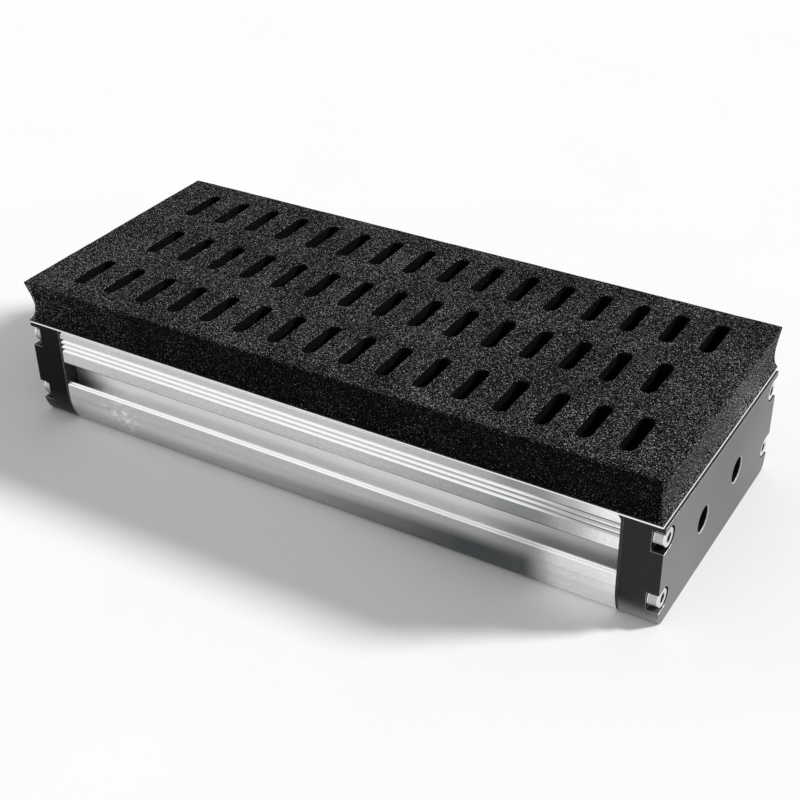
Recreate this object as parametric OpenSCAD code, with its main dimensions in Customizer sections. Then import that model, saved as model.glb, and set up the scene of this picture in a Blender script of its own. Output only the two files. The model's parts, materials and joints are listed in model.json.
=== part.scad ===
// Foam vacuum gripper: a slotted foam pad on a hollow extruded body, closed by two bolted end caps.
// The body lies along X, the foam faces +Z, and the origin is the middle of the underside.

/* [Body profile] */
// Length of the extruded profile between the end gaskets
profile_length = 280; // [200:10:600]
// Width of the profile across its two side faces
body_width = 128; // [120:1:160]
// Height of the profile and of the end caps
body_height = 50; // [48:0.5:60]
// Thickness of the wall under the orifice plate
roof_thickness = 5; // [3.5:0.5:8]
// Thickness of the wall at the underside
floor_thickness = 5; // [3:0.5:8]
// Thickness of the wall between the vacuum chamber and a side slot
side_wall = 3.5; // [3:0.5:8]
// Radius of the vacuum chamber's corners
chamber_radius = 3; // [1:0.5:6]
// Height at which each side face starts to curve inwards
flank_height = 15.5; // [12:0.5:18]
// Radius of the curved lower part of each side face
flank_radius = 32; // [28:1:60]
// Radius of the corner between the curved side and the underside
corner_radius = 3; // [1:0.5:5]

/* [Side T-slots] */
// Height of the middle of each side slot above the underside
slot_rise = 27; // [26:0.5:28]
// Height of the slot's mouth
slot_mouth = 10.6; // [8:0.1:12]
// Height of the wide space behind the lips
slot_inside = 18.8; // [16:0.1:19]
// Depth of the slot from the side face to its back wall
slot_depth = 7; // [5:0.5:8]
// Thickness of the two lips of the slot
lip_thickness = 2; // [1.5:0.1:2.5]
// Rounding of the upper lip's outer edge
lip_round = 1; // [0.5:0.1:1.2]
// Width of the ledge on the lower lip
ledge_width = 0.9; // [0.5:0.1:1.2]
// Drop of the ledge below the top of the lower lip
ledge_drop = 0.6; // [0.3:0.1:1]
// Chamfer on the lower lip's outer edge
ledge_chamfer = 0.6; // [0.2:0.1:0.7]

/* [Grip grooves] */
// Number of V grooves near the top of each side face
groove_count = 3; // [1:1:3]
// Distance from the top of the profile to the first groove
groove_start = 4.2; // [2:0.1:5]
// Distance from one groove to the next
groove_pitch = 2.55; // [2.2:0.05:2.6]
// Width of a groove, which is twice its depth
groove_width = 1.9; // [1:0.1:2]

/* [End caps] */
// Thickness of an end cap
cap_thickness = 17; // [16:0.5:24]
// Thickness of the gasket between the profile and a cap
gasket_thickness = 1; // [0.5:0.25:2]
// Diameter of the screw pockets, which are open to the side face
pocket_diameter = 10; // [9.5:0.1:10.5]
// Distance from the end face of a cap down to the screw head
head_recess = 0.3; // [0.1:0.1:1]

/* [Vacuum ports] */
// Diameter of the threaded bores, the core size of a G 1/4 thread
port_diameter = 11.5; // [8.5:0.1:15]
// Distance between the two bores
port_spacing = 39; // [30:1:60]
// Height of the bores above the underside
port_rise = 25; // [20:0.5:30]
// Width of the chamfer at the mouth of a bore
port_chamfer = 0.4; // [0.3:0.1:1.5]

/* [Cap screws] */
// Nominal thread diameter
screw_diameter = 5; // [4:0.5:5]
// Length under the head
screw_length = 25; // [20:1:30]
// Diameter of the head
head_diameter = 8.5; // [7:0.1:9]
// Height of the head
head_height = 5; // [4:0.5:6]
// Width of the hexagon socket across its flats
socket_width = 4; // [3:0.5:4.5]
// Depth of the hexagon socket
socket_depth = 2.5; // [1.5:0.5:3]
// Distance from a side face to the screw axis
screw_inset = 5.25; // [5:0.05:6]
// Distance from the top of the body to the upper screws
upper_screw_drop = 7.5; // [7:0.1:8.5]
// Height of the lower screws above the underside
lower_screw_rise = 12.8; // [11.5:0.1:14]
// Extra radius of a clearance hole around a screw
screw_clearance = 0.25; // [0.1:0.05:0.5]
// Depth of the tapped holes in the profile
tapped_depth = 16; // [14:1:30]

/* [Orifice plate] */
// Thickness of the plate
plate_thickness = 1; // [0.8:0.1:3]
// How far the plate stands out past each side face
plate_overhang = 1; // [0:0.5:3]
// How far the plate ends short of each cap's end face
plate_setback = 1; // [0:0.5:3]
// Diameter of the orifice below each foam slot
orifice_diameter = 1.5; // [0.8:0.1:3]
// Diameter of the hole through the profile below each orifice
suction_diameter = 6; // [4:0.5:10]

/* [Plate screws] */
// Thread diameter of the countersunk screws
plate_screw_diameter = 2.5; // [2:0.5:3]
// Diameter of the countersunk head
plate_head_diameter = 4.7; // [4:0.1:5.2]
// Length from the top of the head to the tip
plate_screw_length = 5; // [4:0.5:6]
// Distance from a side face to the screws in the profile
plate_screw_inset = 6; // [5:0.5:7]
// Distance between neighbouring screws along the profile
plate_screw_spacing = 70; // [50:5:90]
// Distance of the screws in a cap from the cap's end face
cap_plate_screw_inset = 5; // [4:0.5:7]
// Distance between the two screws in a cap
cap_plate_screw_spacing = 82; // [60:1:90]

/* [Foam pad] */
// Thickness of the foam
foam_thickness = 20; // [10:1:40]
// Thickness of the adhesive film under the foam
film_thickness = 0.5; // [0.2:0.1:1]
// How far the foam's cut edges curve in at mid height
edge_hollow = 2; // [0.5:0.1:4]
// Length of a suction slot across the pad
hole_length = 25; // [20:0.5:30]
// Width of a suction slot
hole_width = 6.5; // [5:0.1:8]
// Distance between neighbouring slots in a row
hole_pitch = 18; // [14:0.5:24]
// Distance between the rows
row_spacing = 41; // [38:0.5:44]
// Least distance from the foam's ends to the middle of a slot
end_margin = 20; // [12:1:40]
// Least distance from the foam's sides to the middle of a row
side_margin = 20; // [16:1:26]

/* [Hidden] */
cap_outer_x = profile_length / 2 + gasket_thickness + cap_thickness;
pad_length = 2 * (cap_outer_x - plate_setback);
pad_width = body_width + 2 * plate_overhang;
chamber_width = body_width - 2 * (slot_depth + side_wall);
screw_y = body_width / 2 - screw_inset;
upper_screw_z = body_height - upper_screw_drop;
head_seat_x = cap_outer_x - head_recess - head_height;
plate_screw_y = body_width / 2 - plate_screw_inset;
cap_plate_screw_x = cap_outer_x - cap_plate_screw_inset;
plate_top = body_height + plate_thickness;
film_top = plate_top + film_thickness;
// Rows of slots: every second row is shorter by one and shifted by half a pitch.
row_count = floor((pad_width - 2 * side_margin) / row_spacing) + 1;
long_row = floor((pad_length - 2 * end_margin) / hole_pitch) + 1;
hole_centres = [
    for (row = [0 : row_count - 1])
        let (count = long_row - row % 2)
            for (i = [0 : count - 1])
                [(i - (count - 1) / 2) * hole_pitch, (row - (row_count - 1) / 2) * row_spacing]
];
// Eight cap screws: [end, side, height], with end and side as -1 or 1.
cap_screws = [
    for (end = [-1, 1]) for (side = [-1, 1]) for (z = [upper_screw_z, lower_screw_rise]) [end, side, z]
];
// Plate screws: a row along each side of the profile, then two in each cap.
profile_plate_screws = [
    for (side = [-1, 1]) for (i = [-1.5 : 1.5]) [i * plate_screw_spacing, side * plate_screw_y]
];
cap_plate_screws = [
    for (end = [-1, 1]) for (side = [-1, 1])
        [end * cap_plate_screw_x, side * cap_plate_screw_spacing / 2]
];
plate_screws = concat(profile_plate_screws, cap_plate_screws);
cut = 1; // how far a cutting shape runs past the face that it cuts
fine = 96;
medium = 48;
coarse = 32;

// ---- shared shapes ----

// Draws its children on both sides of the middle plane of a section.
module both_sides() {
    children();
    mirror([1, 0]) children();
}

// Stands a section, drawn as Y and Z, upright and runs it along X from the given place.
module along_x(from, length) {
    translate([from, 0, 0]) rotate([90, 0, 90]) linear_extrude(length) children();
}

// Solid outline of the body: upright sides, a curved lower flank and a rounded bottom corner.
module body_outline() {
    half = body_width / 2;
    flank_y = half - flank_radius;
    reach = flank_radius - corner_radius;
    rise = flank_height - corner_radius;
    run = sqrt(reach * reach - rise * rise);
    corner = [flank_y + run, corner_radius];
    tangent = [flank_y + run * flank_radius / reach, flank_height - rise * flank_radius / reach];
    translate([-half, flank_height]) square([body_width, body_height - flank_height]);
    translate([-flank_y, 0]) square([2 * flank_y, flank_height]);
    both_sides() difference() {
        intersection() {
            translate([flank_y, flank_height]) circle(r = flank_radius, $fn = fine);
            translate([flank_y - cut, 0]) square([flank_radius + cut, flank_height]);
        }
        difference() {
            polygon([corner, [corner.x, -cut], [half, -cut], [half, tangent.y], tangent]);
            translate(corner) circle(r = corner_radius, $fn = medium);
        }
    }
}

// Rectangle with round corners, centred across and standing on a given height.
module rounded_window(width, bottom, height, radius) {
    translate([-width / 2, bottom + radius]) square([width, height - 2 * radius]);
    translate([-width / 2 + radius, bottom]) square([width - 2 * radius, height]);
    for (y = [radius - width / 2, width / 2 - radius], z = [bottom + radius, bottom + height - radius])
        translate([y, z]) circle(r = radius, $fn = coarse);
}

module chamber_window() {
    rounded_window(chamber_width, floor_thickness, body_height - floor_thickness - roof_thickness,
                   chamber_radius);
}

// Section of one side slot: mouth, wide inside, stepped and chamfered lower lip and round upper lip.
module side_slot_section() {
    face = body_width / 2;
    mouth_top = slot_rise + slot_mouth / 2;
    mouth_bottom = slot_rise - slot_mouth / 2;
    translate([face - slot_depth, mouth_bottom]) square([slot_depth + cut, slot_mouth]);
    translate([face - slot_depth, slot_rise - slot_inside / 2])
        square([slot_depth - lip_thickness, slot_inside]);
    polygon([
        [face - ledge_width - ledge_drop - cut, mouth_bottom + cut],
        [face - ledge_width, mouth_bottom - ledge_drop],
        [face - ledge_chamfer, mouth_bottom - ledge_drop],
        [face + cut, mouth_bottom - ledge_drop - ledge_chamfer - cut],
        [face + cut, mouth_bottom + cut]
    ]);
    difference() {
        translate([face - lip_round, mouth_top - lip_round]) square([lip_round + cut, 2 * lip_round]);
        translate([face - lip_round, mouth_top + lip_round]) circle(r = lip_round, $fn = coarse);
    }
}

// Section of the V grooves on one side.
module groove_section() {
    face = body_width / 2;
    depth = groove_width / 2;
    for (i = [0 : groove_count - 1]) {
        top = body_height - groove_start - i * groove_pitch;
        polygon([
            [face + cut, top + cut], [face - depth, top - depth], [face + cut, top - groove_width - cut]
        ]);
    }
}

// One cylinder along X at a place given by Y and Z.
module bore_x(from, length, y, z, radius) {
    translate([from, y, z]) rotate([0, 90, 0]) cylinder(r = radius, h = length, $fn = medium);
}

// Slot with round ends, long across the pad.
module hole_outline() {
    straight = hole_length - hole_width;
    square([hole_width, straight], center = true);
    for (y = [-straight / 2, straight / 2]) translate([0, y]) circle(d = hole_width, $fn = coarse);
}

// Flat sheet with the pad's outline.
module pad_sheet(bottom, thickness) {
    translate([-pad_length / 2, -pad_width / 2, bottom]) cube([pad_length, pad_width, thickness]);
}

// Countersunk plate screw with its flat top at the top of the plate. As a cutter it runs on above that.
module plate_screw_shape(above) {
    sink = (plate_head_diameter - plate_screw_diameter) / 2;
    translate([0, 0, plate_top]) mirror([0, 0, 1]) {
        cylinder(d = plate_screw_diameter, h = plate_screw_length, $fn = coarse);
        cylinder(d1 = plate_head_diameter, d2 = plate_screw_diameter, h = sink, $fn = coarse);
    }
    if (above > 0) translate([0, 0, plate_top]) cylinder(d = plate_head_diameter, h = above, $fn = coarse);
}

module pad_holes(bottom, thickness) {
    translate([0, 0, bottom - cut]) linear_extrude(thickness + 2 * cut)
        for (centre = hole_centres) translate(centre) hole_outline();
}

// ---- extruded body ----

module body_profile() {
    color("#c9cccd") difference() {
        along_x(-profile_length / 2, profile_length) difference() {
            body_outline();
            chamber_window();
            both_sides() {
                side_slot_section();
                groove_section();
            }
        }
        for (centre = hole_centres) translate([centre.x, centre.y, body_height - roof_thickness - cut])
            cylinder(d = suction_diameter, h = roof_thickness + 2 * cut, $fn = coarse);
        for (s = cap_screws) bore_x(
            s[0] > 0 ? profile_length / 2 - tapped_depth : -profile_length / 2 - cut,
            tapped_depth + cut, s[1] * screw_y, s[2], screw_diameter / 2
        );
        for (place = profile_plate_screws) translate(place) plate_screw_shape(cut);
    }
}

// ---- end caps and gaskets ----

// Cap for the +X end, with its pockets open to the end face and to the side faces.
module end_cap(with_ports) {
    inner_x = profile_length / 2 + gasket_thickness;
    difference() {
        along_x(inner_x, cap_thickness) body_outline();
        for (side = [-1, 1], z = [upper_screw_z, lower_screw_rise]) {
            bore_x(inner_x - cut, cap_thickness + 2 * cut, side * screw_y, z,
                   screw_diameter / 2 + screw_clearance);
            screw_pocket(side, z);
        }
        if (with_ports) for (side = [-1, 1]) port(side * port_spacing / 2, inner_x);
        for (side = [-1, 1]) translate([cap_plate_screw_x, side * cap_plate_screw_spacing / 2]) plate_screw_shape(cut);
    }
}

module screw_pocket(side, z) {
    depth = cap_outer_x - head_seat_x;
    bore_x(head_seat_x, depth + cut, side * screw_y, z, pocket_diameter / 2);
    translate([head_seat_x, side > 0 ? screw_y : -screw_y - screw_inset - cut, z - pocket_diameter / 2])
        cube([depth + cut, screw_inset + cut, pocket_diameter]);
}

module port(y, inner_x) {
    radius = port_diameter / 2;
    bore_x(inner_x - cut, cap_thickness + 2 * cut, y, port_rise, radius);
    translate([cap_outer_x - port_chamfer, y, port_rise]) rotate([0, 90, 0])
        cylinder(r1 = radius, r2 = radius + port_chamfer + cut, h = port_chamfer + cut, $fn = medium);
}

module end_cap_left() {
    color("#17181a") mirror([1, 0, 0]) end_cap(false);
}

module end_cap_right() {
    color("#17181a") end_cap(true);
}

module end_gasket() {
    difference() {
        along_x(profile_length / 2, gasket_thickness) difference() {
            body_outline();
            chamber_window();
        }
        for (side = [-1, 1], z = [upper_screw_z, lower_screw_rise])
            bore_x(profile_length / 2 - cut, gasket_thickness + 2 * cut, side * screw_y, z,
                   screw_diameter / 2 + screw_clearance);
    }
}

module end_gasket_left() {
    color("#0c0c0c") mirror([1, 0, 0]) end_gasket();
}

module end_gasket_right() {
    color("#0c0c0c") end_gasket();
}

// ---- orifice plate, film and foam ----

module orifice_plate() {
    color("#d4d6d7") difference() {
        pad_sheet(body_height, plate_thickness);
        for (centre = hole_centres) translate([centre.x, centre.y, body_height - cut])
            cylinder(d = orifice_diameter, h = plate_thickness + 2 * cut, $fn = coarse);
        for (place = plate_screws) translate(place) plate_screw_shape(cut);
    }
}

module adhesive_film() {
    color("#101010") difference() {
        pad_sheet(plate_top, film_thickness);
        pad_holes(plate_top, film_thickness);
    }
}

// Long cutter for one hollow edge of the foam, running along X at the given distance in Y.
module hollow_edge(distance, length) {
    half = foam_thickness / 2;
    radius = (half * half + edge_hollow * edge_hollow) / (2 * edge_hollow);
    translate([-length / 2, distance - edge_hollow + radius, film_top + half]) rotate([0, 90, 0])
        cylinder(r = radius, h = length, $fn = fine);
}

module foam_pad() {
    color("#2b2b2c") difference() {
        pad_sheet(film_top, foam_thickness);
        pad_holes(film_top, foam_thickness);
        for (turn = [0, 180]) rotate([0, 0, turn]) {
            hollow_edge(pad_width / 2, pad_length + 2 * cut);
            rotate([0, 0, 90]) hollow_edge(pad_length / 2, pad_width + 2 * cut);
        }
    }
}

// ---- screws ----

// Socket head cap screw along X, head outwards at the +X end.
module cap_screw(index) {
    place = cap_screws[index - 1];
    tip_x = head_seat_x - screw_length;
    color("#dadcdd") mirror([place[0] < 0 ? 1 : 0, 0, 0]) difference() {
        union() {
            bore_x(tip_x, screw_length, place[1] * screw_y, place[2], screw_diameter / 2);
            bore_x(head_seat_x, head_height, place[1] * screw_y, place[2], head_diameter / 2);
        }
        translate([head_seat_x + head_height - socket_depth, place[1] * screw_y, place[2]])
            rotate([0, 90, 0]) rotate(30)
                cylinder(d = socket_width / cos(30), h = socket_depth + cut, $fn = 6);
    }
}

// Countersunk screw in the orifice plate.
module plate_screw(index) {
    color("#b9bbbc") translate(plate_screws[index - 1]) plate_screw_shape(0);
}

body_profile();
end_cap_left();
end_cap_right();
end_gasket_left();
end_gasket_right();
orifice_plate();
adhesive_film();
foam_pad();
cap_screw(1);  // cap_screw_1
cap_screw(2);  // cap_screw_2
cap_screw(3);  // cap_screw_3
cap_screw(4);  // cap_screw_4
cap_screw(5);  // cap_screw_5
cap_screw(6);  // cap_screw_6
cap_screw(7);  // cap_screw_7
cap_screw(8);  // cap_screw_8
plate_screw(1);  // plate_screw_1
plate_screw(2);  // plate_screw_2
plate_screw(3);  // plate_screw_3
plate_screw(4);  // plate_screw_4
plate_screw(5);  // plate_screw_5
plate_screw(6);  // plate_screw_6
plate_screw(7);  // plate_screw_7
plate_screw(8);  // plate_screw_8
plate_screw(9);  // plate_screw_9
plate_screw(10);  // plate_screw_10
plate_screw(11);  // plate_screw_11
plate_screw(12);  // plate_screw_12
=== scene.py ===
# Foam vacuum gripper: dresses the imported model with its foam, metal finishes and screws, in a plain studio.
import json
import math

import bmesh
import bpy
import numpy as np
from bpy.props import FloatProperty, FloatVectorProperty, IntProperty, PointerProperty
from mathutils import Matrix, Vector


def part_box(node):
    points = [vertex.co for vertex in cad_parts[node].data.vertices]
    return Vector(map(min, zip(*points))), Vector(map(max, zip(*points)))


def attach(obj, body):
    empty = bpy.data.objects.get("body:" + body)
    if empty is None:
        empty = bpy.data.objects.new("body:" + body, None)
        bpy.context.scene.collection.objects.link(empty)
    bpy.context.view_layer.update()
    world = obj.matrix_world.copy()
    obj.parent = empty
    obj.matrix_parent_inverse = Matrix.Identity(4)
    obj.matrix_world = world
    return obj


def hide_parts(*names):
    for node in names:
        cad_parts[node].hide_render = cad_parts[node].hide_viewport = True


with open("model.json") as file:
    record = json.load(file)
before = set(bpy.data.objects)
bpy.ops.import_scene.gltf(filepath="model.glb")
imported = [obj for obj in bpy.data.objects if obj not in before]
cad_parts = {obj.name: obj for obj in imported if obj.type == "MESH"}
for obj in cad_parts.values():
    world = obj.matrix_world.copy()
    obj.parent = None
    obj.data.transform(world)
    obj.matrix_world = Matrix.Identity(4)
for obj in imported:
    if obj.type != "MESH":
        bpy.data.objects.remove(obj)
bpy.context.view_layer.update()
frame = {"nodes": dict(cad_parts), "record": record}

bl_info = {
    "name": "Foam Vacuum Gripper",
    "version": (1, 0, 0),
    "blender": (4, 5, 0),
    "location": "View3D > Sidebar > Gripper",
    "description": "Foam pad, metal finishes, screws and a plain studio for a foam vacuum gripper",
    "category": "Object",
}

MM = 0.001
FOAM_LOW, FOAM_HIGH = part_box("foam_pad")
CAP_SCREWS = [f"cap_screw_{i}" for i in range(1, 9)]
PLATE_SCREWS = [f"plate_screw_{i}" for i in range(1, 13)]
END_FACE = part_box("end_cap_right")[1].x
PORT = next(mount["pos_m"] for mount in frame["record"]["mounts"] if mount["name"] == "port_back")
WELD_DISTANCE = 1e-6  # points closer than this are one
SIDE_TOLERANCE = 1e-5  # an edge this close to a side of a box lies in it
SHARP_EDGE = math.radians(25)  # edges that turn by more are sharp


# ---- settings ----


def length(name, description, default):
    """A size in metres."""
    return FloatProperty(name=name, description=description, default=default, min=0, unit="LENGTH", precision=5)


def colour(name, description, default):
    """A linear colour."""
    return FloatVectorProperty(name=name, description=description, default=default, min=0, max=1, subtype="COLOR")


def share(name, description, default):
    """A number from 0 to 1."""
    return FloatProperty(name=name, description=description, default=default, min=0, max=1, subtype="FACTOR")


class FoamSettings(bpy.types.PropertyGroup):
    left_hollow: length("Hollow on the left", "How far the cut edges curve in at the pad's left end", 2.4 * MM)
    right_hollow: length("Hollow on the right", "How far the cut edges curve in at the pad's right end", 1.5 * MM)
    rim_radius: length("Rim radius", "Rounding of the foam's upper edges", 0.7 * MM)
    edge_stray: length("Edge stray", "How far a cut edge strays from a straight line", 0.45 * MM)
    hole_length: length("Slot length", "Length of a suction slot across the pad", 25 * MM)
    hole_width: length("Slot width", "Width of a suction slot", 6.5 * MM)
    hole_pitch: length("Slot pitch", "Distance between neighbouring slots in a row", 18 * MM)
    row_spacing: length("Row spacing", "Distance between the rows of slots", 41 * MM)
    long_row: IntProperty(name="Slots in a long row", description="The middle row has one less", default=16, min=2)
    cell: length("Cell size", "Size of the foam's pores", 0.52 * MM)
    dark: colour("Pore colour", "Colour inside the pores", (0.003, 0.003, 0.0035))
    body: colour("Foam colour", "Colour of the foam between the pores", (0.013, 0.013, 0.0135))
    wall: colour("Cell wall colour", "Colour of the raised cell walls", (0.052, 0.052, 0.052))
    fleck: colour("Fleck colour", "Colour of the cell walls that catch the light", (0.58, 0.58, 0.58))


class MetalSettings(bpy.types.PropertyGroup):
    profile: colour("Profile", "Extruded aluminium of the body", (0.97, 0.975, 0.975))
    slot: colour("Slot", "Duller aluminium inside the body's side slots", (0.97, 0.977, 0.965))
    # Colour of the painted shade: the dark foot and duller zones stand in for reflected shadowed floor, and it
    # darkens the grooves, slot lips, slot ends and the band under the plate.
    foot: colour("Foot", "Tarnish on the body's foot and at the slots' ends", (0.09, 0.102, 0.11))
    plate: colour("Plate", "Sheet aluminium of the orifice plate", (0.97, 0.97, 0.96))
    plate_face: colour("Plate faces", "Duller faces of the orifice plate", (0.42, 0.42, 0.415))
    cap: colour("End caps", "Black anodised aluminium of the end caps", (0.006, 0.0065, 0.007))
    # Painted sheen on the caps' end faces.
    cap_end: colour("Cap end faces", "Paler machined end faces of the caps", (0.084, 0.085, 0.079))
    # Painted reflection of lit floor on the right cap's lowest part.
    cap_foot: colour("Cap feet", "Rubbed lowest part of the caps", (0.36, 0.36, 0.36))
    # Used on the broken edges, partly bare metal and partly a painted highlight, and on the port rims as a painted
    # highlight.
    cap_edge: colour("Cap edges", "Bright broken edges of the end caps", (0.55, 0.56, 0.56))
    gasket: colour("Gasket", "Black rubber between the profile and the caps", (0.010, 0.010, 0.010))
    film: colour("Film", "Adhesive film under the foam", (0.012, 0.012, 0.012))
    steel: colour("Screws", "Zinc-plated steel of the screws", (0.80, 0.80, 0.79))
    # Painted shade: the darker knurl stands in for the shade on the screws' heads.
    knurl: colour("Screw knurl", "Duller steel in the knurl of the cap screws' heads", (0.46, 0.46, 0.455))
    profile_roughness: share("Profile roughness", "Roughness of the extruded aluminium", 0.30)
    cap_roughness: share("Cap roughness", "Roughness of the anodised end caps", 0.26)
    edge_break: length("Edge break", "Width of the small bevel on machined edges", 0.3 * MM)
    plate_round: length("Plate rounding", "Rounding of the orifice plate's outer edges", 0.45 * MM)
    socket_width: length("Socket width", "Width of the screws' hexagon socket across its flats", 4 * MM)
    socket_depth: length("Socket depth", "Depth of the screws' hexagon socket", 2.5 * MM)
    head_height: length("Head height", "Height of the cap screws' heads", 5 * MM)
    knurl_teeth: IntProperty(name="Knurl teeth", description="Ridges round a cap screw's head", default=36, min=12)
    knurl_depth: length("Knurl depth", "Depth of the ridges round a cap screw's head", 0.12 * MM)
    screw_diameter: length("Screw diameter", "Thread diameter of the cap screws", 5 * MM)


class StudioSettings(bpy.types.PropertyGroup):
    camera_place: FloatVectorProperty(
        name="Camera place", description="Where the camera stands", subtype="TRANSLATION", unit="LENGTH",
        default=(0.2909, -0.46752, 0.37499))
    camera_turn: FloatVectorProperty(
        name="Camera turn", description="The camera's rotation", subtype="EULER", unit="ROTATION",
        default=(0.99874, 0.01501, 0.54004))
    lens: FloatProperty(name="Lens", description="Focal length in millimetres", default=63.885, min=1)
    floor: colour("Floor", "Colour of the floor", (0.95, 0.95, 0.95))
    sky: share("Sky level", "Strength of the even light from all round", 0.48)


# ---- meshes ----


def grid_faces(rows, columns, wrap=False):
    """Quads over a grid of points counted row by row. With wrap, the last column joins the first."""
    row = np.arange(rows - 1)[:, None] * columns
    here = np.arange(columns if wrap else columns - 1)[None, :]
    there = (here + 1) % columns
    return np.stack([row + here, row + there, row + columns + there, row + columns + here], axis=-1).reshape(-1, 4)


class Patchwork:
    """Grids of points gathered into one surface."""

    def __init__(self):
        self.points, self.faces, self.kinds, self.count = [], [], [], 0

    def add(self, grid, wrap=False, flip=False, kind=0):
        """Adds grids of points, shaped [..., rows, columns, 3], with the number of their material."""
        rows, columns = grid.shape[-3:-1]
        faces = grid_faces(rows, columns, wrap)
        if flip:
            faces = faces[:, ::-1]
        many = grid.reshape(-1, rows * columns, 3)
        starts = self.count + np.arange(len(many)) * rows * columns
        self.points.append(many.reshape(-1, 3))
        self.faces.append((faces[None] + starts[:, None, None]).reshape(-1, 4))
        self.kinds.append(np.full(len(many) * len(faces), kind))
        self.count += many.shape[0] * rows * columns

    def welded(self):
        """Points that coincide become one; a quad that has lost a side is a triangle and keeps three corners."""
        points, faces, kinds = (np.concatenate(part) for part in (self.points, self.faces, self.kinds))
        key = np.round(points / WELD_DISTANCE).astype(np.int64)
        _, first, place = np.unique(key, axis=0, return_index=True, return_inverse=True)
        faces = place.reshape(-1)[faces]
        repeated = faces == np.roll(faces, -1, axis=1)
        whole, cut = ~repeated.any(axis=1), repeated.sum(axis=1) == 1
        corners = faces[cut][~repeated[cut]].reshape(-1, 3)
        return points[first], faces[whole].tolist() + corners.tolist(), np.concatenate([kinds[whole], kinds[cut]])


def check_closed(name, faces):
    """Every edge of a closed surface is walked once in each direction."""
    walked = edges_of(faces)
    there = np.unique(walked, axis=0)
    back = np.unique(walked[:, ::-1], axis=0)
    if len(there) != len(walked) or not np.array_equal(there, back):
        raise RuntimeError(f"{name} is not closed")


def edges_of(faces):
    """Start and end of each side of each face."""
    found = []
    for size in {len(face) for face in faces}:
        group = np.array([face for face in faces if len(face) == size])
        found.append(np.stack([group, np.roll(group, -1, axis=1)], axis=-1).reshape(-1, 2))
    return np.concatenate(found)


def make_piece(name, surface, materials, node, sharp):
    """A piece from welded surfaces, which rides on the body and stands for a CAD node."""
    points, faces, kinds = surface.welded()
    check_closed(name, faces)
    mesh = bpy.data.meshes.new(name)
    mesh.from_pydata(points.tolist(), [], faces)
    mesh.update()
    piece = bpy.data.objects.new(name, mesh)
    bpy.context.scene.collection.objects.link(piece)
    finish_piece(piece, materials, node, sharp)
    mesh.polygons.foreach_set("material_index", kinds)
    return piece


def finish_piece(piece, materials, node, sharp):
    """Gives a piece its shading, materials and body, and hides the CAD node that it stands for. Its shading is
    smooth up to the sharp angle."""
    mesh = piece.data
    mesh.shade_smooth()
    mesh.set_sharp_from_angle(angle=sharp)
    mesh.materials.clear()
    for material in materials:
        mesh.materials.append(material)
    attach(piece, "root")
    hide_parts(node)


def broken_edges(name, node, materials, width, segments=2, edge_material=0, outer_only=False):
    """A copy of a CAD node with its loose triangles merged and its sharp edges bevelled by a small width.
    With outer_only, these are the edges that lie in two sides of the node's box, and those at its ends along X
    are bevelled by a smaller share."""
    mesh = frame["nodes"][node].data.copy()
    mesh.name = name
    work = bmesh.new()
    work.from_mesh(mesh)
    bmesh.ops.remove_doubles(work, verts=work.verts, dist=WELD_DISTANCE)
    bmesh.ops.dissolve_limit(work, angle_limit=math.radians(0.2), verts=work.verts, edges=work.edges)
    if outer_only:
        low, high = (np.array(corner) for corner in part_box(node))
        weight = work.edges.layers.float.new("bevel_weight_edge")
        ends = np.array([[v.co for v in edge.verts] for edge in work.edges])
        in_side = np.any([(np.abs(ends - corner) < SIDE_TOLERANCE).all(axis=1) for corner in (low, high)], axis=0)
        share_at_ends = 0.3
        shares = (in_side.sum(axis=1) >= 2) * np.where(in_side[:, 0] & ~in_side[:, 1], share_at_ends, 1.0)
        for edge, value in zip(work.edges, shares.tolist()):
            edge[weight] = value
    work.to_mesh(mesh)
    work.free()
    piece = bpy.data.objects.new(name, mesh)
    bpy.context.scene.collection.objects.link(piece)
    bevel = piece.modifiers.new("Broken edges", "BEVEL")
    bevel.width = width
    bevel.segments = segments
    bevel.limit_method = "WEIGHT" if outer_only else "ANGLE"
    bevel.angle_limit = SHARP_EDGE
    bevel.miter_outer = "MITER_ARC"
    bevel.material = edge_material
    finish_piece(piece, materials, node, SHARP_EDGE)


# ---- materials ----


class Wire:
    """An output socket of a material's nodes. Python's operators on it add Math nodes."""

    def __init__(self, nodes, socket):
        self.nodes, self.socket = nodes, socket

    def math(self, operation, *values, clamp=False):
        return self.nodes.node("ShaderNodeMath", {"operation": operation, "use_clamp": clamp}, *values)

    def __add__(self, other):
        return self.math("ADD", self, other)

    __radd__ = __add__

    def __sub__(self, other):
        return self.math("SUBTRACT", self, other)

    def __rsub__(self, other):
        return self.math("SUBTRACT", other, self)

    def __mul__(self, other):
        return self.math("MULTIPLY", self, other)

    __rmul__ = __mul__

    def __truediv__(self, other):
        return self.math("DIVIDE", self, other)

    def __rtruediv__(self, other):
        return self.math("DIVIDE", other, self)

    def __abs__(self):
        return self.math("ABSOLUTE", self)

    def clamped(self):
        """Held between 0 and 1."""
        return self.math("ADD", self, 0.0, clamp=True)

    def above_zero(self):
        """Held at 0 or more."""
        return self.math("MAXIMUM", self, 0.0)

    def between(self, low, high):
        """0 up to low, 1 from high on, and smooth between them."""
        return self.nodes.node(
            "ShaderNodeMapRange", {"interpolation_type": "SMOOTHSTEP"}, self, low, high, 0.0, 1.0)


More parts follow.
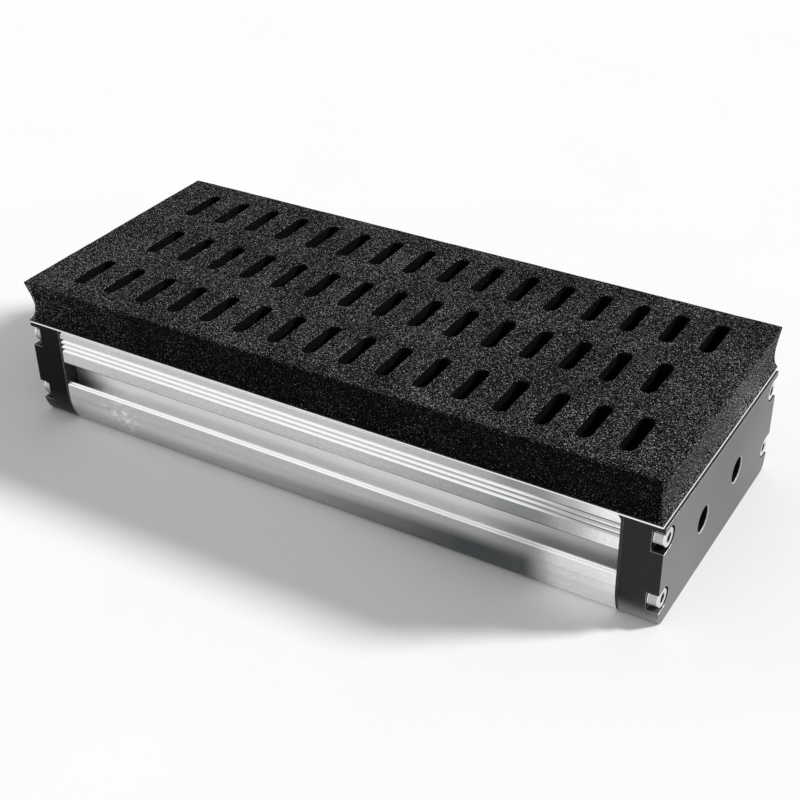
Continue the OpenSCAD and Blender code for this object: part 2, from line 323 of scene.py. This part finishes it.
class Nodes:
    """A node tree under construction."""

    def __init__(self, tree):
        self.tree = tree

    def node(self, kind, settings=None, *values, output=0, **sockets):
        """Adds a node: its settings first, then the values or wires of its sockets by order or by name."""
        made = self.tree.nodes.new(kind)
        for key, value in (settings or {}).items():
            if key == "stops":
                fill_ramp(made.color_ramp, value)
            else:
                setattr(made, key, value)
        for socket, value in zip([s for s in made.inputs if s.enabled], values):
            self.fill(socket, value)
        for name, value in sockets.items():
            self.fill(made.inputs[name.replace("_", " ")], value)
        return Wire(self, made.outputs[output])

    def fill(self, socket, value):
        """Puts a constant or a wire on a socket."""
        if isinstance(value, Wire):
            self.tree.links.new(value.socket, socket)
        else:
            socket.default_value = value

    def shown(self):
        """1 for rays from the camera and for reflections and refractions, and 0 for the rest."""
        return sum(self.node("ShaderNodeLightPath", output=ray) for ray in (
            "Is Camera Ray", "Is Glossy Ray", "Is Transmission Ray")).clamped()


class Finish(Nodes):
    """A procedural material under construction, read on Object coordinates. What is the same all over it is
    given as constants, named for the shader's sockets."""

    def __init__(self, name, **constants):
        self.material = bpy.data.materials.new(name)
        self.material.use_nodes = True
        super().__init__(self.material.node_tree)
        self.tree.nodes.clear()
        self.shader = self.tree.nodes.new("ShaderNodeBsdfPrincipled")
        output = self.tree.nodes.new("ShaderNodeOutputMaterial")
        self.tree.links.new(self.shader.outputs["BSDF"], output.inputs["Surface"])
        for socket, value in constants.items():
            self.set(socket.replace("_", " "), value)
        self.place = self.node("ShaderNodeTexCoord", output="Object")

    def set(self, socket, value):
        """A constant or a wire on one socket of the shader."""
        self.fill(self.shader.inputs[socket], value)

    def axes(self):
        """The place along X, Y and Z in millimetres."""
        return [self.node("ShaderNodeSeparateXYZ", None, self.place, output=name) / MM for name in "XYZ"]

    def stretched(self, scale, place=(0, 0, 0)):
        """Object coordinates in repeats per metre along each axis."""
        return self.node("ShaderNodeMapping", None, self.place, place, (0, 0, 0), scale)

    def noise(self, scale, detail=2.0, roughness=0.5, where=None):
        """Soft noise with values from about 0.2 to 0.8."""
        return self.node(
            "ShaderNodeTexNoise", Vector=where or self.place, Scale=scale, Detail=detail, Roughness=roughness)

    def mix(self, factor, first, second):
        """One colour turning into another. A colour is a wire or three numbers."""
        first, second = (c if isinstance(c, Wire) else (*c[:3], 1.0) for c in (first, second))
        return self.node("ShaderNodeMix", {"data_type": "RGBA"}, factor, first, second, output=2)

    def bump(self, height, distance, strength=1.0):
        """Bumps of a height from 0 to 1, and of a distance in metres, into the shader's normal."""
        self.set("Normal", self.node("ShaderNodeBump", Strength=strength, Distance=distance, Height=height))


def fill_ramp(ramp, stops):
    """Stops as (position, colour)."""
    while len(ramp.elements) > 1:
        ramp.elements.remove(ramp.elements[-1])
    for number, (position, value) in enumerate(stops):
        element = ramp.elements[0] if number == 0 else ramp.elements.new(position)
        element.position = position
        element.color = (*value[:3], 1)


def scaled(colour_value, factor):
    """A colour made darker or lighter by a factor."""
    return tuple(c * factor for c in colour_value)


def give_finish(nodes, material):
    """Puts one material on CAD nodes that stay as they are."""
    for node in nodes:
        mesh = frame["nodes"][node].data
        mesh.materials.clear()
        mesh.materials.append(material)


def foam_finish(settings):
    """Black cellular foam: dark pores, charcoal between them and light flecks where cell walls catch the light.
    The cut sides carry painted shade, darker than the top and less so towards the left, and the cut ends are
    painted lighter than the long sides, more so towards the back."""
    finish = Finish("Foam", Roughness=0.95, Specular_IOR_Level=0.0)
    x, y, z = finish.axes()
    foam_end, foam_top = FOAM_HIGH.x / MM, FOAM_HIGH.z / MM
    cells = finish.noise(1 / settings.cell, detail=2.0, roughness=0.75)
    flecks = finish.noise(1.7 / settings.cell, detail=1.0)
    cloud = finish.noise(30.0, detail=3.0)

    # Painted light and shade on the cut sides, shifting their flecks: darker on the long sides, lighter at the ends
    # and towards the left.
    cut = 1 - z.between(foam_top - 1.2, foam_top - 0.3)
    at_end = abs(x - 0.45).between(foam_end - 3.0, foam_end - 2.6)
    left = 1 - x.between(-150, -50)
    rear = y.between(-60, 60)
    lighter = cut * (at_end * (0.054 + 0.02 * rear) + 0.036 * left - 0.048)
    height = cells * 0.7 + flecks * 0.3 + (cloud - 0.5) * 0.06 + lighter
    stops = [(0.468, settings.dark), (0.528, settings.body), (0.58, settings.wall), (0.655, settings.fleck)]
    finish.set("Base Color", finish.node("ShaderNodeValToRGB", {"stops": stops}, height))
    finish.bump(height, 0.4 * MM, 0.8)
    return finish.material


def slot_shade_finish(settings):
    """The slots' punched walls: closed, painted near-black as the shade down the holes, and nearly free of flecks."""
    finish = Finish("Slot wall", Roughness=0.95, Specular_IOR_Level=0.0)
    cells = finish.noise(1 / settings.cell, detail=2.0, roughness=0.7)
    finish.set("Base Color", finish.mix(cells.between(0.45, 0.7), settings.dark, settings.body))
    finish.bump(cells, 0.3 * MM, 0.6)
    return finish.material


def profile_finish(settings):
    """Extruded aluminium with long faint die lines and a fine satin grain. Its foot, its side slots and its faces
    towards the right carry painted shade for the shadowed floor they reflect, its back is painted darker, its
    grooves' valleys, slots' upper lip and the band under the plate carry painted shade, and there are small
    scuffs, most of them low on the front's left."""
    finish = Finish("Extruded aluminium", Metallic=1.0)
    lines = finish.noise(1.0, detail=4.0, roughness=0.65, where=finish.stretched((6, 1800, 1800)))
    coarse_lines = finish.noise(1.0, detail=2.0, where=finish.stretched((2.5, 420, 420), (3.1, 0, 0)))
    grain = finish.noise(1.0, detail=2.0, roughness=0.7, where=finish.stretched((600, 1000, 1000)))
    cloud = finish.noise(22.0, detail=3.0)
    x, y, z = finish.axes()
    front, depth = 1 - y.between(-10, 10), abs(y)

    # Parts of the profile's section, by their distance from the middle plane and by their height.
    in_slot = (1 - depth.between(61.6, 62.1)) * z.between(15.5, 17)
    upper = z.between(32.5, 33.5)
    flat = depth.between(63.82, 63.98) + (1 - z.between(14, 16))
    slope = (upper * (1 - flat)).clamped()
    # The next three masks place painted shade: in the grooves' valleys, along the slots' upper lip, and painted
    # shadow on the band under the plate.
    groove_shade = upper * (1 - depth.between(63.10, 63.30))
    lip_shade = z.between(32.1, 32.3) * (1 - z.between(33.0, 33.2))
    plate_shadow = z.between(45.6, 45.9) * (1 - z.between(48.3, 48.9)) * (1 - x.between(0, 80))

    # How much painted shade each part has along the profile. The dark foot and the duller zones stand in for the
    # shadowed floor that the front reflects, and the grooves' valleys, the slots' upper lip and the band under the
    # plate get painted shade.
    rise = x.between(-90, 90)
    foot = (1 - (z - 6.5 * rise).between(4, 12.5)) * (1 - x.between(99, 107.5))
    dull = (0.5 * upper * x.between(0, 110) * (1 - x.between(118, 136))
            + 0.26 * (1 - upper) * x.between(10, 90) * (1 - x.between(102, 114))
            + 0.2 * x.between(80, 96) * (1 - x.between(106, 118)))
    dull = dull * (1 - 0.85 * slope) + 0.55 * slope * x.between(92, 124)
    painted_shade = foot * (0.42 + 0.5 * rise * rise) + dull * (1 - foot)
    painted_shade = painted_shade * (0.8 + 0.4 * cloud) * (0.5 + 0.5 * front)
    painted_shade = painted_shade + 0.4 * groove_shade + 0.6 * lip_shade + 0.2 * plate_shadow

    # Scuffs: many round one place on the front, and a few in patches elsewhere.
    rubbed = front * (1 - (abs(x + 108) + abs(z - 15)).between(6, 20))
    patches = finish.noise(40.0, where=finish.stretched((1, 1, 1), (0.3, 0, 0))).between(0.62, 0.70)
    specks = finish.noise(1.0, detail=3.0, roughness=0.6, where=finish.stretched((420, 760, 760)))
    scuffs = (specks.between(0.53, 0.60) * rubbed + specks.between(0.62, 0.68) * patches).clamped()

    # Bright metal with darker streaks on its flat faces, all of it painted darker at the back as shade, then the
    # painted shade.
    streaks = 1 - (0.3 * lines + 0.25 * coarse_lines + 0.45 * grain).between(0.34, 0.64)
    streaks = streaks * (0.45 + 0.35 * upper)
    # Painted shade: each colour of the bare metal is darker at the back than at the front.
    bright, dark = (
        finish.mix(front, scaled(settings.profile, at_back), scaled(settings.profile, at_front))
        for at_back, at_front in ((0.74, 1.0), (0.52, 0.74)))
    bare = finish.mix((streaks * flat).clamped(), bright, dark)
    bare = finish.mix(painted_shade.clamped(), bare, settings.foot)

    # The profile's upper end corners are painted in the gaskets' black outside a round.
    past_end, past_top = (abs(x) - 136.5).above_zero(), (z - 46.5).above_zero()
    bare = finish.mix((past_end * past_end + past_top * past_top).between(11.0, 13.5), bare, settings.gasket)

    # The side slots: painted darker at the back, on the front from x 66 mm towards the right as a painted reflection
    # of shadowed floor, and towards the left end as painted shade by the cap; then the scuffs over everything.
    slot = finish.mix(front, scaled(settings.slot, 0.66), settings.slot)
    slot = finish.mix(0.40 * front * x.between(66, 114), slot, settings.foot)
    slot_end_shade = 1 - x.between(-139, -112)
    slot = finish.mix(slot_end_shade * slot_end_shade * 0.85, slot, settings.foot)
    bare = finish.mix(in_slot, bare, slot)
    finish.set("Base Color", finish.mix(scuffs * 0.8, bare, (0.97, 0.97, 0.97)))

    satin = (settings.profile_roughness - 0.07) + 0.08 * cloud + 0.08 * grain
    right_of_foot = (1 - upper) * (1 - in_slot) * x.between(103, 114)
    finish.set("Roughness", satin + 0.35 * in_slot + 0.45 * scuffs + 0.28 * right_of_foot)
    finish.bump(lines * 0.4 + coarse_lines * 0.3 + grain * 0.3, 0.03 * MM, 0.4)
    return finish.material


def cap_finish(settings):
    """Black anodised aluminium with a fine satin grain and faint clouds. The left cap's front is a deeper black as
    painted shade, the end faces carry a painted sheen, the right cap's foot a painted reflection of lit floor, and
    the port rims a painted highlight."""
    finish = Finish("Black anodising", IOR=1.31)
    grain = finish.noise(2600.0, detail=2.0)
    cloud = finish.noise(30.0, detail=4.0)
    x, y, z = finish.axes()
    end_face = END_FACE / MM
    end = abs(x).between(end_face - 0.25, end_face - 0.15)
    right = x.between(-100, 100)
    low = 1 - z.between(0, 15)
    # Painted sheen on the end faces: lighter towards the front and the bottom, with a painted highlight along the top
    # edge.
    painted_sheen = 1.15 - 0.7 * y.between(-60, 20) - 0.3 * z.between(10, 50) + 0.5 * z.between(48.3, 49.3)

    # A port's rim lies a little deeper than the end face. Across and up are distances from a port's axis.
    across, up = abs(y) - PORT[1] / MM, z - PORT[2] / MM
    # The port rims are painted in the edges' bright colour as a highlight.
    port_rim_highlight = 1 - (across * across + up * up).between(37.5, 38.5)
    port_rim_highlight = port_rim_highlight * x.between(end_face - 0.5, end_face - 0.4)

    skin = finish.mix(grain.between(0.35, 0.7) * 0.5 + cloud * 0.4, settings.cap, scaled(settings.cap, 1.7))
    # Painted reflection: the right cap's lowest part, off its end face, turns pale grey as if it reflected lit floor.
    skin = finish.mix(low * low * right * (1 - end), skin, settings.cap_foot)
    # The end faces take the painted sheen.
    skin = finish.mix((end * painted_sheen * (0.75 + 0.5 * cloud)).clamped(), skin, settings.cap_end)
    finish.set("Base Color", finish.mix(port_rim_highlight, skin, scaled(settings.cap_edge, 0.7)))
    finish.set("Roughness", (settings.cap_roughness - 0.05) + 0.10 * cloud)
    # The left cap's front is made metallic, which with its near-black colour drops its reflection: painted shade.
    finish.set("Metallic", (1 - right) * (1 - end) * (1 - y.between(-10, 10)))
    finish.bump(grain, 0.02 * MM, 0.25)
    return finish.material


def plate_finish(settings):
    """Rolled sheet aluminium with a fine grain along the plate: bright at its edges, dull on its faces, and
    brushed where it stands out past the foam at the ends."""
    finish = Finish("Sheet aluminium", Metallic=1.0)
    grain = finish.noise(1.0, detail=4.0, roughness=0.6, where=finish.stretched((40, 2200, 2200)))
    x, _, z = finish.axes()
    low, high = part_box("orifice_plate")
    foam_end, middle = FOAM_HIGH.x / MM, (low.z + high.z) / 2 / MM
    ledge = abs(x).between(foam_end - 0.3, foam_end)
    face = abs(z - middle).between(0.46, 0.49) * (1 - ledge)
    sheet = finish.mix(grain.between(0.3, 0.7), scaled(settings.plate, 0.88), settings.plate)
    finish.set("Base Color", finish.mix(face * 0.9, sheet, settings.plate_face))
    finish.set("Roughness", 0.16 + 0.12 * grain + 0.2 * face + 0.5 * ledge)
    finish.bump(grain, 0.02 * MM, 0.3)
    return finish.material


def mottled_finish(name, colours, metallic, scale, detail, spread, roughness, bump=None):
    """A finish with one soft noise. It turns the first colour into the second over its spread, and varies the
    roughness from a base by an amount. Its bumps have a distance and a strength."""
    finish = Finish(name, Metallic=metallic)
    noise = finish.noise(scale, detail=detail)
    base, amount = roughness
    finish.set("Base Color", finish.mix(noise.between(*spread), *colours))
    finish.set("Roughness", base + amount * noise)
    if bump:
        finish.bump(noise, *bump)
    return finish.material


def bare_edge_highlight_finish(settings):
    """Bright aluminium on the caps' broken edges: partly bare metal through the anodising, partly a painted
    highlight.
    """
    return mottled_finish(
        "Broken edge", (scaled(settings.cap_edge, 0.6), settings.cap_edge), metallic=1.0, scale=900.0, detail=3.0,
        spread=(0.3, 0.7), roughness=(0.2, 0.2))


def steel_finish(name, steel):
    """Zinc-plated steel, bright and slightly uneven."""
    return mottled_finish(
        name, (scaled(steel, 0.85), steel), metallic=1.0, scale=420.0, detail=3.0, spread=(0.3, 0.7),
        roughness=(0.07, 0.08), bump=(0.02 * MM, 0.1))


def rubber_finish(settings):
    """Matt black rubber sheet with a faint bloom."""
    return mottled_finish(
        "Gasket rubber", (settings.gasket, scaled(settings.gasket, 2)), metallic=0.0, scale=260.0, detail=4.0,
        spread=(0.35, 0.75), roughness=(0.6, 0.25), bump=(0.05 * MM, 0.3))


def film_finish(settings):
    """Black adhesive film with a dull gloss."""
    return mottled_finish(
        "Adhesive film", (settings.film, scaled(settings.film, 1.6)), metallic=0.0, scale=180.0, detail=3.0,
        spread=(0.3, 0.7), roughness=(0.38, 0.2), bump=(0.03 * MM, 0.3))


# ---- foam pad ----

ROUND_STEPS = 24  # around each round end of a slot
STRAIGHT_STEPS = 16  # along each straight side of a slot
CELL_STEPS = (12, 28)  # along the short and the long side of the cell round a slot
EDGE_STEPS = 9  # from the last cells to the pad's ends
SIDE_STEPS = 3  # from the outer rows' cells to the pad's long sides
WALL_ROWS = 8  # up a slot's wall
SKIRT_ROWS = 14  # up the pad's outer wall
RIM_ANGLES = np.linspace(0, math.pi / 2, 4)[1:]  # over a round rim
FLAT_SHARES = (0.14, 0.36, 0.66, 1.0)  # from a slot's rim out to its cell
WALL_SWELL = 0.12 * MM  # how much wider a slot is at mid height
STRAY_BAND = 5 * MM  # how far from a cut edge the foam strays


def slot_outline(settings, grow):
    """Outline of a slot with round ends, grown by a distance.
    It runs round the near end from angle 180 to 360 degrees, up one side, round the far end and back:
    a point is the end's centre plus the radius times (cosine, sine), and the straights divide evenly.
    It starts a quarter of the way round the near end, which faces the cell's corner."""
    radius = settings.hole_width / 2 + grow
    straight = (settings.hole_length - settings.hole_width) / 2
    angle = math.pi * (1 + np.arange(ROUND_STEPS) / ROUND_STEPS)
    near = np.stack([radius * np.cos(angle), radius * np.sin(angle) - straight], axis=-1)
    run = straight * (2 * np.arange(STRAIGHT_STEPS) / STRAIGHT_STEPS - 1)
    side = np.stack([np.full_like(run, radius), run], axis=-1)
    half = np.concatenate([near, side])
    return np.roll(np.concatenate([half, -half]), -ROUND_STEPS // 4, axis=0)


def cell_outline(settings):
    """Outline of the rectangle round a slot, from its lowest corner, in even steps."""
    across, along = CELL_STEPS
    width, height = settings.hole_pitch / 2, settings.row_spacing / 2
    x, y = 2 * np.arange(across) / across - 1, 2 * np.arange(along) / along - 1
    near = np.stack([width * x, np.full(across, -height)], axis=-1)
    side = np.stack([np.full(along, width), height * y], axis=-1)
    half = np.concatenate([near, side])
    return np.concatenate([half, -half])


def level(outline, height):
    """An outline laid at one height."""
    return np.concatenate([outline, np.full((*outline.shape[:-1], 1), height)], axis=-1)


def slot_centres(settings):
    """Centres of the slots: three rows, and the middle one is one shorter."""
    rows = []
    for row, count in enumerate([settings.long_row, settings.long_row - 1, settings.long_row]):
        x = (np.arange(count) - (count - 1) / 2) * settings.hole_pitch
        rows.append(np.stack([x, np.full(count, (row - 1) * settings.row_spacing), np.zeros(count)], axis=-1))
    return np.concatenate(rows)


def pad_lattice(settings, inset):
    """Places along X and along Y that the slots' cells and the borders share, out to the pad's edge less an inset."""
    cells_x, cells_y = settings.long_row * settings.hole_pitch / 2, 1.5 * settings.row_spacing
    x = np.linspace(-cells_x, cells_x, settings.long_row * CELL_STEPS[0] + 1)
    y = np.linspace(-cells_y, cells_y, 3 * CELL_STEPS[1] + 1)
    out_x = np.linspace(cells_x, FOAM_HIGH.x - inset, EDGE_STEPS + 1)[1:]
    out_y = np.linspace(cells_y, FOAM_HIGH.y - inset, SIDE_STEPS + 1)[1:]
    return np.concatenate([-out_x[::-1], x, out_x]), np.concatenate([-out_y[::-1], y, out_y])


def border_patches(surface, settings, inset, height, flip):
    """Flat grids over the lattice where no slot's cell lies: the ends, the sides and the middle row's ends."""
    xs, ys = pad_lattice(settings, inset)
    end, side, half_cell, row = EDGE_STEPS, SIDE_STEPS, CELL_STEPS[0] // 2, CELL_STEPS[1]
    inner, middle_row = slice(end, -end), slice(side + row, -side - row)
    spans = [
        (xs[: end + 1], ys), (xs[-end - 1:], ys),
        (xs[inner], ys[: side + 1]), (xs[inner], ys[-side - 1:]),
        (xs[end: end + half_cell + 1], ys[middle_row]), (xs[-end - half_cell - 1: -end], ys[middle_row]),
    ]
    for x, y in spans:
        flat = np.stack(np.meshgrid(x, y), axis=-1)
        surface.add(level(flat, height), flip=flip)


def pad_perimeter(settings, inset):
    """The lattice's outermost loop, anticlockwise from its lowest corner."""
    xs, ys = pad_lattice(settings, inset)
    return np.concatenate([
        np.stack([xs[:-1], np.full(len(xs) - 1, ys[0])], axis=-1),
        np.stack([np.full(len(ys) - 1, xs[-1]), ys[:-1]], axis=-1),
        np.stack([xs[:0:-1], np.full(len(xs) - 1, ys[-1])], axis=-1),
        np.stack([np.full(len(ys) - 1, xs[0]), ys[:0:-1]], axis=-1),
    ])


def foam_surface(settings):
    """The pad as patches: round each slot a closed strip from the underside's cell up the slot's wall to the
    upper cell, flat borders above and below, and the hollow outer wall."""
    low, high, radius = FOAM_LOW.z, FOAM_HIGH.z, settings.rim_radius
    rise = high - radius - low
    surface = Patchwork()
    cell = cell_outline(settings)
    centres = slot_centres(settings)[:, None, None, :]

    # Slot strips. Up the wall the slot is a little wider at mid height, and over the rim its outline grows by
    # radius times (1 - cosine) while it rises by radius times sine.
    wall = [level(slot_outline(settings, WALL_SWELL * math.sin(math.pi * u)), low + rise * u)
            for u in np.linspace(0, 1, WALL_ROWS)]
    rim = [level(slot_outline(settings, radius * (1 - math.cos(a))), high - radius + radius * math.sin(a))
           for a in RIM_ANGLES]
    flat = [level((1 - u) * slot_outline(settings, radius) + u * cell, high) for u in FLAT_SHARES]
    surface.add(np.stack([level(cell, low), *wall])[None] + centres, wrap=True, flip=True, kind=1)
    surface.add(np.stack([wall[-1], *rim, *flat])[None] + centres, wrap=True, flip=True)

    border_patches(surface, settings, 0, low, flip=True)
    border_patches(surface, settings, radius, high, flip=False)

    # Outer wall. At the height v, from 0 at the foot to 1 under the rim, it stands in by the hollow times
    # sin(pi v^0.66), so it is deepest a third of the way up. The hollow changes evenly from end to end.
    outline = pad_perimeter(settings, 0)
    reach = np.array([FOAM_HIGH.x, FOAM_HIGH.y])
    across = (outline[:, :1] / reach[0] + 1) / 2
    hollow = settings.left_hollow + (settings.right_hollow - settings.left_hollow) * across
    rows = [level(outline * (reach - hollow * math.sin(math.pi * v ** 0.66)) / reach, low + rise * v)
            for v in np.linspace(0, 1, SKIRT_ROWS)]
    for a in RIM_ANGLES:
        inset = radius * (1 - math.cos(a))
        loop = pad_perimeter(settings, inset) if a == RIM_ANGLES[-1] else outline * (reach - inset) / reach
        rows.append(level(loop, high - radius + radius * math.sin(a)))
    surface.add(np.stack(rows), wrap=True)
    surface.points = [stray(points, settings) for points in surface.points]
    return surface


def stray(points, settings):
    """Moves the cut edges in unevenly, as a blade leaves them: within a band along an edge each point goes in by
    the stray times a sum of sines along that edge, and the more the higher it is."""
    reach = np.array([FOAM_HIGH.x, FOAM_HIGH.y])
    near = ((np.abs(points[:, :2]) - reach + STRAY_BAND) / STRAY_BAND).clip(0, 1) ** 2
    height = ((points[:, 2:] - FOAM_LOW.z) / (FOAM_HIGH.z - FOAM_LOW.z)).clip(0, 1)
    along = points[:, 1::-1]
    pace = np.array([90.0, 173.0, 340.0, 610.0, 970.0])
    part = np.array([0.3, 0.25, 0.2, 0.15, 0.1])
    phase = np.arange(len(pace)) + 40 * points[:, 2][:, None, None]
    wave = (np.sin(along[..., None] * pace + phase) * part).sum(axis=-1)
    moved = points.copy()
    moved[:, :2] -= np.sign(points[:, :2]) * near * height * settings.edge_stray * (0.5 + 0.5 * wave)
    return moved


# ---- cap screws ----


def screw_surface(settings, name, turn):
    """A socket head cap screw along X: a profile of (distance along the axis, radius) turned round the axis.
    In the socket the radius is a hexagon's: half its width over the cosine of the angle from the nearest flat.
    The head's knurl is a radius less the knurl's depth times (1 - cosine of the teeth times the angle) / 2."""
    low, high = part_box(name)
    outward = 1.0 if high.x > 0 else -1.0
    face = high.x if outward > 0 else low.x
    full_length = high.x - low.x
    centre_y, centre_z = (low.y + high.y) / 2, (low.z + high.z) / 2
    head, shank = (high.y - low.y) / 2, settings.screw_diameter / 2
    seat, depth = settings.head_height, settings.socket_depth
    round_edge, socket_break, seat_break, point = 0.55 * MM, 0.25 * MM, 0.1 * MM, 0.5 * MM
    knurl_from, knurl_to, knurl_chamfer = 1.0 * MM, seat - 0.5 * MM, 0.2 * MM

    angle = np.arange(4 * settings.knurl_teeth) / (4 * settings.knurl_teeth) * 2 * math.pi
    circle = np.ones_like(angle)
    flat = (angle + turn) % (math.pi / 3) - math.pi / 6
    hexagon = settings.socket_width / 2 / np.cos(flat)
    corner = settings.socket_width / 2 / math.cos(math.pi / 6)
    knurl = head - settings.knurl_depth * (1 - np.cos(settings.knurl_teeth * angle)) / 2

    socket = [(depth * 1.12, 0 * circle), (depth, hexagon * 0.96), (depth * 0.5, hexagon), (socket_break, hexagon)]
    top = [(0.0, circle * (corner + socket_break)), (0.0, circle * (head - round_edge) * 0.86),
           (0.0, circle * (head - round_edge))]
    top += [(round_edge * (1 - math.cos(a)), circle * (head - round_edge + round_edge * math.sin(a)))
            for a in np.linspace(0, math.pi / 2, 6)[1:]]
    side = [(knurl_from - knurl_chamfer, circle * head), (knurl_from, knurl), (knurl_to, knurl),
            (knurl_to + knurl_chamfer, circle * head), (seat - seat_break, circle * head),
            (seat, circle * (head - seat_break))]
    thread = [(seat, circle * shank), (full_length - point, circle * shank), (full_length, circle * (shank - point)),
              (full_length, 0 * circle)]
    rows = socket + top + side + thread
    knurled = len(socket + top) + 1
    grid = np.stack([
        np.stack([
            np.full_like(angle, face - outward * along), centre_y + radius * np.cos(angle),
            centre_z + radius * np.sin(angle)], axis=-1)
        for along, radius in rows])
    surface = Patchwork()
    surface.add(grid[: knurled + 1], wrap=True, flip=outward > 0)
    surface.add(grid[knurled: knurled + 2], wrap=True, flip=outward > 0, kind=1)
    surface.add(grid[knurled + 1:], wrap=True, flip=outward > 0)
    return surface


# ---- studio ----


def soft_sun(name, azimuth, elevation, spread, strength):
    """A distant soft light from an azimuth, counted from +X towards +Y, and an elevation, all in degrees."""
    lamp = bpy.data.lights.new(name, "SUN")
    lamp.energy = strength
    lamp.angle = math.radians(spread)
    holder = bpy.data.objects.new(name, lamp)
    holder.rotation_euler = (0, math.radians(90 - elevation), math.radians(azimuth))
    bpy.context.scene.collection.objects.link(holder)


class GRIPPER_OT_stage(bpy.types.Operator):
    """Camera, one soft light, an even sky and a pale floor"""

    bl_idname = "gripper.stage"
    bl_label = "Studio"

    def execute(self, context):
        studio = context.scene.gripper_studio
        camera = bpy.data.objects.new("Camera", bpy.data.cameras.new("Camera"))
        context.scene.collection.objects.link(camera)
        camera.data.sensor_width = 36
        camera.data.lens = studio.lens
        camera.location = studio.camera_place
        camera.rotation_euler = studio.camera_turn
        camera.data.clip_start, camera.data.clip_end = 0.01, 20
        context.scene.camera = camera
        context.scene.view_settings.view_transform = "Standard"

        floor_finish = Finish("Floor", Roughness=0.8, Specular_IOR_Level=0.0)
        dust = floor_finish.noise(9.0, detail=2.0)
        floor_finish.set(
            "Base Color", floor_finish.mix(dust.between(0.2, 0.8), scaled(studio.floor, 0.985), studio.floor))
        half = 6.0
        mesh = bpy.data.meshes.new("Floor")
        mesh.from_pydata([(-half, -half, 0), (half, -half, 0), (half, half, 0), (-half, half, 0)], [], [(0, 1, 2, 3)])
        mesh.materials.append(floor_finish.material)
        floor = bpy.data.objects.new("Floor", mesh)
        context.scene.collection.objects.link(floor)

        world = bpy.data.worlds.new("Studio")
        context.scene.world = world
        world.use_nodes = True
        nodes, background = Nodes(world.node_tree), world.node_tree.nodes["Background"]
        nodes.fill(background.inputs["Color"], (1, 1, 1, 1))
        nodes.fill(background.inputs["Strength"], studio.sky + (1 - studio.sky) * nodes.shown())

        soft_sun("Key light", azimuth=33, elevation=33.2, spread=10, strength=3.25)
        return {"FINISHED"}


class GRIPPER_OT_foam_pad(bpy.types.Operator):
    """Foam pad with its slots, hollow cut edges and cellular finish"""

    bl_idname = "gripper.foam_pad"
    bl_label = "Foam pad"

    def execute(self, context):
        settings = context.scene.gripper_foam
        finishes = [foam_finish(settings), slot_shade_finish(settings)]
        piece = make_piece(
            "foam_pad_cut", foam_surface(settings), finishes, "foam_pad", sharp=math.radians(50))
        return {"FINISHED"}


class GRIPPER_OT_body(bpy.types.Operator):
    """Extruded body with its finish"""

    bl_idname = "gripper.body"
    bl_label = "Extruded body"

    def execute(self, context):
        metal = context.scene.gripper_metal
        give_finish(["body_profile"], profile_finish(metal))
        return {"FINISHED"}


class GRIPPER_OT_end_caps(bpy.types.Operator):
    """End caps with bright broken edges, and their gaskets"""

    bl_idname = "gripper.end_caps"
    bl_label = "End caps and gaskets"

    def execute(self, context):
        metal = context.scene.gripper_metal
        finishes = [cap_finish(metal), bare_edge_highlight_finish(metal)]
        for side in ("left", "right"):
            broken_edges(
                f"end_cap_{side}_finished", f"end_cap_{side}", finishes, metal.edge_break,
                edge_material=1)
        give_finish(["end_gasket_left", "end_gasket_right"], rubber_finish(metal))
        return {"FINISHED"}


class GRIPPER_OT_plate(bpy.types.Operator):
    """Orifice plate, adhesive film and countersunk screws"""

    bl_idname = "gripper.plate"
    bl_label = "Plate, film and plate screws"

    def execute(self, context):
        metal = context.scene.gripper_metal
        broken_edges(
            "orifice_plate_finished", "orifice_plate", [plate_finish(metal)], metal.plate_round,
            segments=4, outer_only=True)
        give_finish(["adhesive_film"], film_finish(metal))
        give_finish(PLATE_SCREWS, steel_finish("Plate screw steel", metal.steel))
        return {"FINISHED"}


class GRIPPER_OT_cap_screws(bpy.types.Operator):
    """Socket head cap screws with rounded heads and hexagon sockets"""

    bl_idname = "gripper.cap_screws"
    bl_label = "Cap screws"

    def execute(self, context):
        metal = context.scene.gripper_metal
        # The knurl's darker steel is painted shade.
        finishes = [steel_finish("Cap screw steel", metal.steel), steel_finish("Knurled steel", metal.knurl)]
        turns = np.random.default_rng(3).uniform(0, math.pi / 3, len(CAP_SCREWS))
        for name, turn in zip(CAP_SCREWS, turns):
            make_piece(
                f"{name}_turned", screw_surface(metal, name, turn), finishes, name,
                sharp=math.radians(28))
        return {"FINISHED"}


class GRIPPER_PT_panel(bpy.types.Panel):
    """Lists the gripper's pieces"""

    bl_idname = "GRIPPER_PT_panel"
    bl_label = "Foam Vacuum Gripper"
    bl_space_type = "VIEW_3D"
    bl_region_type = "UI"
    bl_category = "Gripper"

    def draw(self, context):
        for operator in OPERATORS:
            self.layout.operator(operator.bl_idname)
        for group in GROUPS:
            settings = getattr(context.scene, group)
            box = self.layout.box()
            for name in settings.__annotations__:
                box.prop(settings, name)


GROUPS = {"gripper_foam": FoamSettings, "gripper_metal": MetalSettings, "gripper_studio": StudioSettings}
OPERATORS = (
    GRIPPER_OT_stage, GRIPPER_OT_body, GRIPPER_OT_end_caps, GRIPPER_OT_plate, GRIPPER_OT_cap_screws,
    GRIPPER_OT_foam_pad,
)


def register():
    for name, group in GROUPS.items():
        bpy.utils.register_class(group)
        setattr(bpy.types.Scene, name, PointerProperty(type=group))
    for item in (*OPERATORS, GRIPPER_PT_panel):
        bpy.utils.register_class(item)


def unregister():
    for item in reversed((*OPERATORS, GRIPPER_PT_panel)):
        bpy.utils.unregister_class(item)
    for name, group in GROUPS.items():
        delattr(bpy.types.Scene, name)
        bpy.utils.unregister_class(group)


def main():
    register()
    bpy.ops.gripper.stage()
    bpy.ops.gripper.body()
    bpy.ops.gripper.end_caps()
    bpy.ops.gripper.plate()
    bpy.ops.gripper.cap_screws()
    bpy.ops.gripper.foam_pad()


if __name__ == "__main__":
    main()
